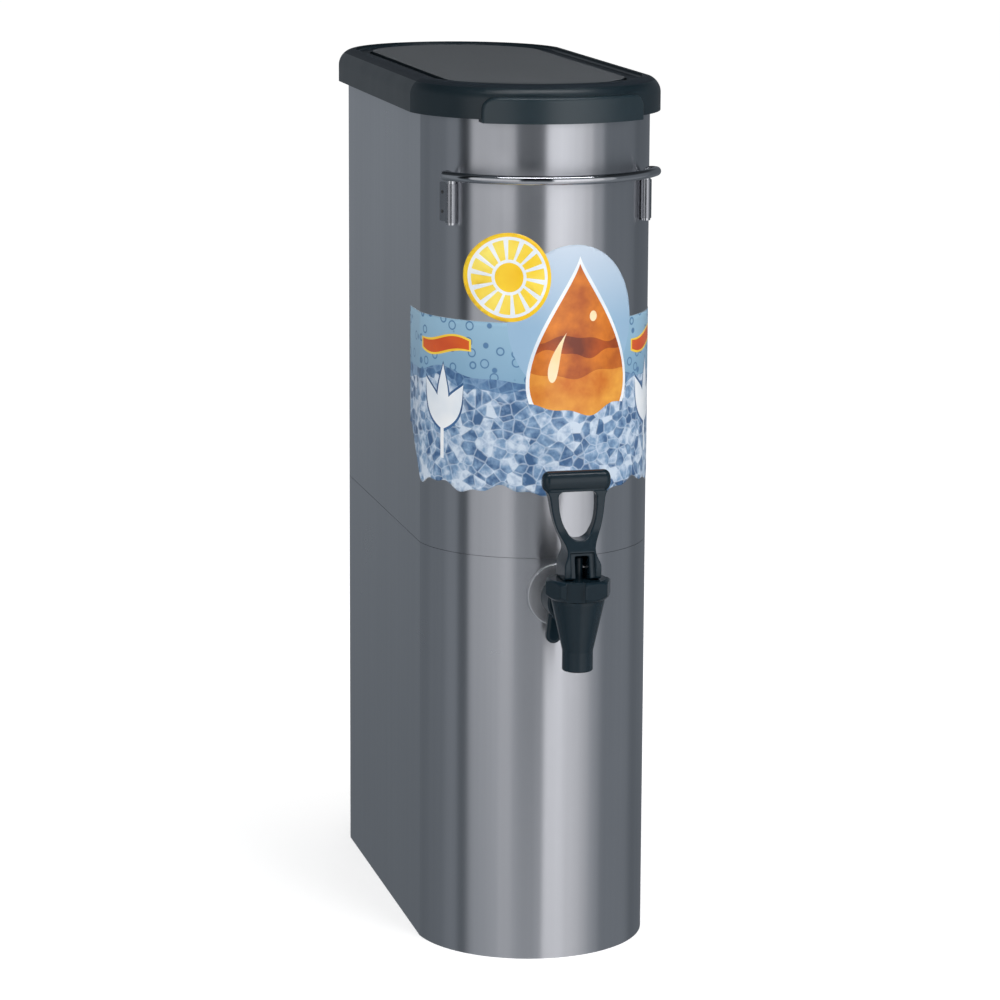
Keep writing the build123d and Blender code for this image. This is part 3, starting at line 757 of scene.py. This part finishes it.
def ribbon_outline(centre, half_length, half_width):
    """A short waving ribbon, narrower towards its ends."""
    steps = 20
    upper, lower = [], []
    for step in range(-steps, steps + 1):
        share = step / steps
        along = centre + share * half_length
        middle = RIBBON_Z + RIBBON_SWING * math.sin(share * RIBBON_TURN)
        width = half_width * (1 - RIBBON_TAPER * share * share)
        upper.append((along, middle + width))
        lower.append((along, middle - width))
    return upper + lower[::-1]


def inside(point, outline):
    """Whether a point is within a closed outline."""
    x, y = point
    found = False
    previous_x, previous_y = outline[-1]
    for next_x, next_y in outline:
        if (next_y > y) != (previous_y > y):
            if x < (previous_x - next_x) * (y - next_y) / (previous_y - next_y) + next_x:
                found = not found
        previous_x, previous_y = next_x, next_y
    return found


def disc_motifs():
    """A round yellow disc with a ring of rays."""
    motifs = [("print_sun_rim", disc_oval(1)), ("print_white", disc_oval(DISC_PITH))]
    half_ray = 360 / RAYS * RAY_SHARE
    for ray in range(RAYS):
        middle = 360 * ray / RAYS + RAY_START
        outer = disc_oval(RAY_OUTER, 8, middle - half_ray, middle + half_ray)
        inner = disc_oval(RAY_INNER, 8, middle + half_ray, middle - half_ray)
        motifs.append(("print_sun", outer + inner))
    motifs.append(("print_sun_rim", disc_oval(DISC_HEART, 40)))
    return motifs


def drop_motifs():
    """A large amber drop in a white rim, with darker and lighter waves in it and two shines."""
    centre = along_wall(DROP_X)
    rim = drop_outline(
        centre, DROP_BOTTOM - RIM_BELOW, DROP_HALF_WIDTH + RIM_SIDE, DROP_HEIGHT + RIM_TALLER, DROP_LEAN)
    drop = drop_outline(centre, DROP_BOTTOM, DROP_HALF_WIDTH, DROP_HEIGHT, DROP_LEAN)
    motifs = [("print_white", rim), ("print_amber", drop)]
    for ink, *wave in DROP_FIELDS:
        motifs.append((ink, wave_outline(*wave), drop))
    shine = drop_outline(centre - SHINE_ASIDE, SHINE_BOTTOM, SHINE_HALF_WIDTH, SHINE_HEIGHT, SHINE_LEAN)
    glint = oval(GLINT_X, GLINT_Z, GLINT_HALF_WIDTH, GLINT_HALF_HEIGHT, 24)
    motifs += [("print_cream", shine), ("print_cream", glint)]
    return motifs


def side_sprig(side):
    """Orange ribbon over a white sprig of two leaves and a bud, near one end of the film."""
    middle = side * SPRIG_X
    rim = ribbon_outline(middle, RIBBON_HALF_LENGTH + RIBBON_RIM, RIBBON_HALF_WIDTH + RIBBON_RIM)
    motifs = [
        ("print_yellow", rim),
        ("print_orange", ribbon_outline(middle, RIBBON_HALF_LENGTH, RIBBON_HALF_WIDTH)),
    ]
    for aside, level, belly in LEAVES:
        foot, tip = (middle, SPRIG_FOOT - LEAF_SHIFT), (middle + aside, level)
        motifs.append(("print_navy", leaf_outline(foot, tip, belly + LEAF_RIM)))
    for aside, level, belly in LEAVES:
        foot, tip = (middle, SPRIG_FOOT), (middle + aside, level - LEAF_SHIFT)
        motifs.append(("print_white", leaf_outline(foot, tip, belly)))
    left, right = middle - STALK_HALF_WIDTH, middle + STALK_HALF_WIDTH
    stalk = [(left, STALK_BOTTOM), (right, STALK_BOTTOM), (right, STALK_TOP), (left, STALK_TOP)]
    motifs.append(("print_white", stalk))
    return motifs


def label_motifs():
    """The film's picture, back to front: (ink, outline, and for some an outline that limits it)."""
    motifs = [("print_sky", band_outline()), ("print_pale", arch_oval())]
    motifs += [(ink, wave_outline(*wave)) for ink, *wave in BACK_FIELDS]
    motifs += disc_motifs() + drop_motifs()
    ink, *wave = FRONT_FIELD
    motifs.append((ink, wave_outline(*wave)))
    return motifs + side_sprig(-1) + side_sprig(1)


def tinted_ink(name, low, high, scale, detail):
    """Ink whose tone drifts between two screen colours."""
    m = Material(name, **INK_FINISH)
    tone = m.noise((scale, scale, scale), detail=detail)
    m.colour(m.ramp(m.spread(tone, 0, 1, 0.32, 0.68), (0.0, srgb(*low)), (1.0, srgb(*high))))
    return m


def sky_ink():
    """Blue that pales upwards, with scattered rings like bubbles."""
    m = Material("print_sky", **INK_FINISH)
    field = m.ramp(
        m.spread(m.height(), 0, 1, SKY_LOW, SKY_HIGH),
        (0.0, srgb(98, 140, 176)), (0.5, srgb(122, 162, 192)), (1.0, srgb(150, 188, 212)))
    cells = m.node("TexVoronoi", {"Vector": m.place((115, 115, 115)), "Scale": 1.0, "Randomness": 0.9})
    black, white = (0, 0, 0), (1, 1, 1)
    ring = m.ramp(
        cells.outputs["Distance"],
        (0.0, black), (0.26, black), (0.30, white), (0.36, white), (0.40, black))
    m.colour(m.mix(ring, field, srgb(78, 122, 164)))
    return m


def pale_ink():
    """Pale blue of the arch, lighter towards its top."""
    m = Material("print_pale", **INK_FINISH)
    level = m.spread(m.height(), 0, 1, PALE_LOW, PALE_HIGH)
    m.colour(m.ramp(level, (0.0, srgb(150, 184, 212)), (1.0, srgb(198, 212, 228))))
    return m


def ice_ink(name, dark, middle, light):
    """Broken pattern of facets in three tones, with light edges between them."""
    m = Material(name, **INK_FINISH)
    bend = m.noise((34, 34, 34), detail=3.0)
    warped = m.vector("ADD", m.place((125, 125, 140)), bend)
    edges = m.node("TexVoronoi", {"Vector": warped, "Scale": 1.0}, feature="DISTANCE_TO_EDGE")
    facets = m.node("TexVoronoi", {"Vector": warped, "Scale": 1.0})
    tone = m.node("SeparateColor", {"Color": facets.outputs["Color"]}).outputs[0]
    cloud = m.spread(m.noise((150, 150, 150), detail=4.0), -0.45, 0.45, 0.3, 0.7)
    shade = m.math("ADD", tone, cloud)
    field = m.ramp(shade, (0.0, srgb(*dark)), (0.5, srgb(*middle)), (1.0, srgb(*light)))
    edge = m.spread(edges.outputs["Distance"], 0.55, 0.0, 0.0, 0.09)
    m.colour(m.mix(edge, field, srgb(*light)))
    return m


def print_materials():
    """The film's inks by name: each with its own shading and a slight print texture."""
    made = {name: tinted_ink(name, low, high, 30.0, 3.0) for name, low, high in PLAIN_INKS}
    made |= {name: tinted_ink(name, low, high, 55.0, 5.0) for name, low, high in TEA_INKS}
    made |= {"print_sky": sky_ink(), "print_pale": pale_ink()}
    made |= {name: ice_ink(name, *tones) for name, *tones in ICE_INKS}
    for m in made.values():
        m.bump(m.noise((500, 500, 500)), 0.003 * MM)
    return {name: m.data for name, m in made.items()}


def film_grid():
    """Points all over the film, close enough for it to follow the wall, and along the wall's creases."""
    points = []
    columns = int(LABEL_REACH / GRID_ACROSS)
    for column in range(-columns, columns + 1):
        for row in range(int((ARCH_TOP + GRID_SPARE - LABEL_BOTTOM) / GRID_UP)):
            points.append(Vector((column * GRID_ACROSS, LABEL_BOTTOM + row * GRID_UP)))
    for side in (-1, 1):
        for step in range(CREASE_STEPS):
            points.append(Vector((side * CREASE, LABEL_BOTTOM + step * CREASE_STEP)))
    return points


def film_faces():
    """The film laid flat, cut along its motifs' outlines: its points, and its faces with their inks."""
    motifs = label_motifs()
    points, edges = [], []
    for outline in (motif[1] for motif in motifs):
        start, count = len(points), len(outline)
        points += [Vector(point) for point in outline]
        edges += [(start + step, start + (step + 1) % count) for step in range(count)]
    points += film_grid()
    flat, _, faces = delaunay_2d_cdt(points, edges, [], 0, 1e-6, False)[:3]
    film = (band_outline(), arch_oval(), disc_oval(1))
    kept = []
    for face in faces:
        middle = sum((flat[i] for i in face), Vector((0, 0))) / len(face)
        if any(inside(middle, outline) for outline in film):
            inks = [ink for ink, *outlines in motifs if all(inside(middle, outline) for outline in outlines)]
            kept.append((face, inks[-1]))
    return flat, kept


def film_mesh(flat, faces, inks):
    """The flat film wrapped round the wall as a thin closed sheet."""
    slots = {name: place for place, name in enumerate(inks)}
    work = bmesh.new()
    used = sorted({i for face, ink in faces for i in face})
    front = {i: work.verts.new(wrap(flat[i].x, flat[i].y, FILM_HIGH)) for i in used}
    back = {i: work.verts.new(wrap(flat[i].x, flat[i].y, FILM_LOW)) for i in used}
    rim = set()
    for face, ink in faces:
        printed = work.faces.new([front[i] for i in face])
        printed.material_index = slots[ink]
        printed.smooth = True
        plain = work.faces.new([back[i] for i in reversed(face)])
        plain.material_index = slots["print_white"]
        plain.smooth = True
        for a, b in zip(face, face[1:] + face[:1]):
            if (b, a) in rim:
                rim.remove((b, a))
            else:
                rim.add((a, b))
    for a, b in sorted(rim):
        side = work.faces.new([front[b], front[a], back[a], back[b]])
        side.material_index = slots["print_white"]
    bmesh.ops.recalc_face_normals(work, faces=work.faces)
    mesh = bpy.data.meshes.new("front_print")
    for data in inks.values():
        mesh.materials.append(data)
    work.to_mesh(mesh)
    work.free()
    return mesh


def make_label():
    """The printed film, in place of the CAD piece that stands for it."""
    flat, faces = film_faces()
    film = add_object("front_print", film_mesh(flat, faces, print_materials()))
    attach(film, "dispenser")
    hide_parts("front_label")


def on_lip(place):
    """Whether a place on the lid belongs to the finger lip, proud of the skirt's round front."""
    reach = math.hypot(place.x, place.y - END_Y)
    return place.y < END_Y and reach > END_RADIUS + LID_OVERHANG + LIP_MARGIN


def on_panel(place):
    """Whether a place on the lid's upper side belongs to the raised panel."""
    inset = PANEL_INSET - PANEL_MARGIN
    middle_y = WALL_Y + BODY_LENGTH / 2
    run = max(abs(place.y - middle_y) - (BODY_LENGTH / 2 - END_RADIUS), 0)
    return math.hypot(place.x, run) < END_RADIUS - inset and abs(place.x) < HALF_WIDTH - inset


def finish_lid_and_paint_sheen():
    """The lid's finishes with painted light: a textured panel painted paler as sheen, a dull upper side
    painted lighter where it faces up, and a smoother finger lip painted lighter and bluer as reflection.
    """
    lid = nodes["lid"].data
    # Panel: coarser texture, and a paler colour that is painted sheen of light on the matte top
    lid.materials.append(moulded_plastic("lid_panel_painted_sheen", (0.080, 0.088, 0.096), 0.62, 0.02 * MM))
    # Upper side: duller gloss, and a lighter colour on upward faces that is painted sheen
    lid.materials.append(moulded_plastic("lid_top_painted_sheen", (0.015, 0.021, 0.028), 0.44, 0.004 * MM, 1.22))
    # Finger lip: glossier, and a lighter, bluer colour that is painted reflection
    lid.materials.append(moulded_plastic("lid_lip_painted_reflection", (0.010, 0.023, 0.031), 0.34, 0.003 * MM, 1.58))
    panel, top, lip = 1, 2, 3
    # Lip, panel and upper side faces take lighter colours: painted reflection and painted sheen
    for face in lid.polygons:
        if on_lip(face.center):
            face.material_index = lip
        elif face.center.z >= LEDGE_Z - CREST_DROP and face.normal.z >= UPPER_SIDE:
            level = face.normal.z > LEVEL_FACE
            face.material_index = panel if level and on_panel(face.center) else top


def block(centre, size, bearing=0.0, lean=0.0):
    """A box used as a cutter: leaned about X, then turned about Z, both in degrees."""
    work = bmesh.new()
    bmesh.ops.create_cube(work, size=1.0)
    bmesh.ops.scale(work, vec=size, verts=work.verts)
    bmesh.ops.rotate(work, matrix=Matrix.Rotation(math.radians(lean), 3, "X"), verts=work.verts)
    bmesh.ops.rotate(work, matrix=Matrix.Rotation(math.radians(bearing), 3, "Z"), verts=work.verts)
    bmesh.ops.translate(work, vec=centre, verts=work.verts)
    mesh = bpy.data.meshes.new("cutter")
    work.to_mesh(mesh)
    work.free()
    return add_object("cutter", mesh)


def welded_copy(mesh):
    """A copy of a mesh with its doubled points joined."""
    copy = mesh.copy()
    work = bmesh.new()
    work.from_mesh(copy)
    bmesh.ops.remove_doubles(work, verts=work.verts, dist=1e-6)
    work.to_mesh(copy)
    work.free()
    return copy


def moulded(name, node, voxel, passes, cutters=()):
    """A finished copy of a moulded CAD piece: its cuts made, its edges rounded as a mould leaves them."""
    piece = add_object(name, welded_copy(nodes[node].data))
    for cutter in cutters:
        cut = piece.modifiers.new("cut", "BOOLEAN")
        cut.object = cutter
        cut.operation = "DIFFERENCE"
        cut.solver = "EXACT"
    even = piece.modifiers.new("even", "REMESH")
    even.mode = "VOXEL"
    even.voxel_size = voxel
    even.use_smooth_shade = True
    rounding = piece.modifiers.new("round", "SMOOTH")
    rounding.factor = 0.5
    rounding.iterations = passes
    graph = bpy.context.evaluated_depsgraph_get()
    finished = bpy.data.meshes.new_from_object(piece.evaluated_get(graph))
    finished.materials.clear()
    finished.materials.append(nodes[node].data.materials[0])
    piece.modifiers.clear()
    piece.data = finished
    for cutter in cutters:
        bpy.data.objects.remove(cutter)
    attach(piece, nodes[node]["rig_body"])
    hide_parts(node)


def make_tap_pieces():
    """The tap's moulded parts, with the lever's recessed front and the collar's grip notches."""
    recess = block((0, TAP_Y - RECESS_AHEAD, PIN_Z + RECESS_UP), RECESS_SIZE, lean=RECESS_LEAN)
    moulded("lever", "tap_handle", 0.45 * MM, 5, [recess])
    notches = []
    for step in range(NOTCHES):
        bearing = NOTCH_BEARING + 360 / NOTCHES * step
        turn = math.radians(bearing)
        out = Vector((math.sin(turn), -math.cos(turn), 0)) * NOTCH_REACH
        notches.append(block(Vector((0, TAP_Y, COLLAR_Z)) + out, NOTCH_SIZE, bearing=bearing))
    moulded("collar", "bonnet", 0.4 * MM, 3, notches)
    moulded("tap_nut", "wing_nut", 0.5 * MM, 5)


def copied(name, node):
    """A copy of a CAD piece that takes its place."""
    piece = add_object(name, nodes[node].data.copy())
    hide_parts(node)
    return piece


def make_springy_pieces():
    """Copies of the closing spring, held on the dispenser with a mesh of its own, and of the seat cup, with
    its place baked into its points.
    """
    coil = copied("coil", "closing_spring")
    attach(coil, "dispenser")
    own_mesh(coil)
    cup = copied("cup", "seat_cup")
    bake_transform(cup)


def make_weld_spots():
    """Dark marks of the spot welds that hold the handle's clips."""
    work = bmesh.new()
    for side in (-1, 1):
        turn = side * math.radians(WELD_BEARING)
        out = Vector((math.sin(turn), -math.cos(turn), 0)) * (CLIP_FACE + WELD_PROUD)
        for height in WELD_HEIGHTS:
            spot = bmesh.ops.create_uvsphere(work, u_segments=20, v_segments=10, radius=WELD_RADIUS)["verts"]
            bmesh.ops.scale(work, vec=(1, WELD_FLATNESS, 1), verts=spot)
            bmesh.ops.rotate(work, matrix=Matrix.Rotation(turn, 3, "Z"), verts=spot)
            bmesh.ops.translate(work, vec=Vector((0, END_Y, height)) + out, verts=spot)
    for face in work.faces:
        face.smooth = True
    mesh = bpy.data.meshes.new("weld_spots")
    work.to_mesh(mesh)
    work.free()
    mesh.materials.append(weld_mark())
    piece = add_object("weld_spots", mesh)
    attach(piece, "dispenser")


make_camera()
make_studio()
finish_nodes()
finish_lid_and_paint_sheen()
make_tap_pieces()
make_springy_pieces()
make_weld_spots()
make_label()
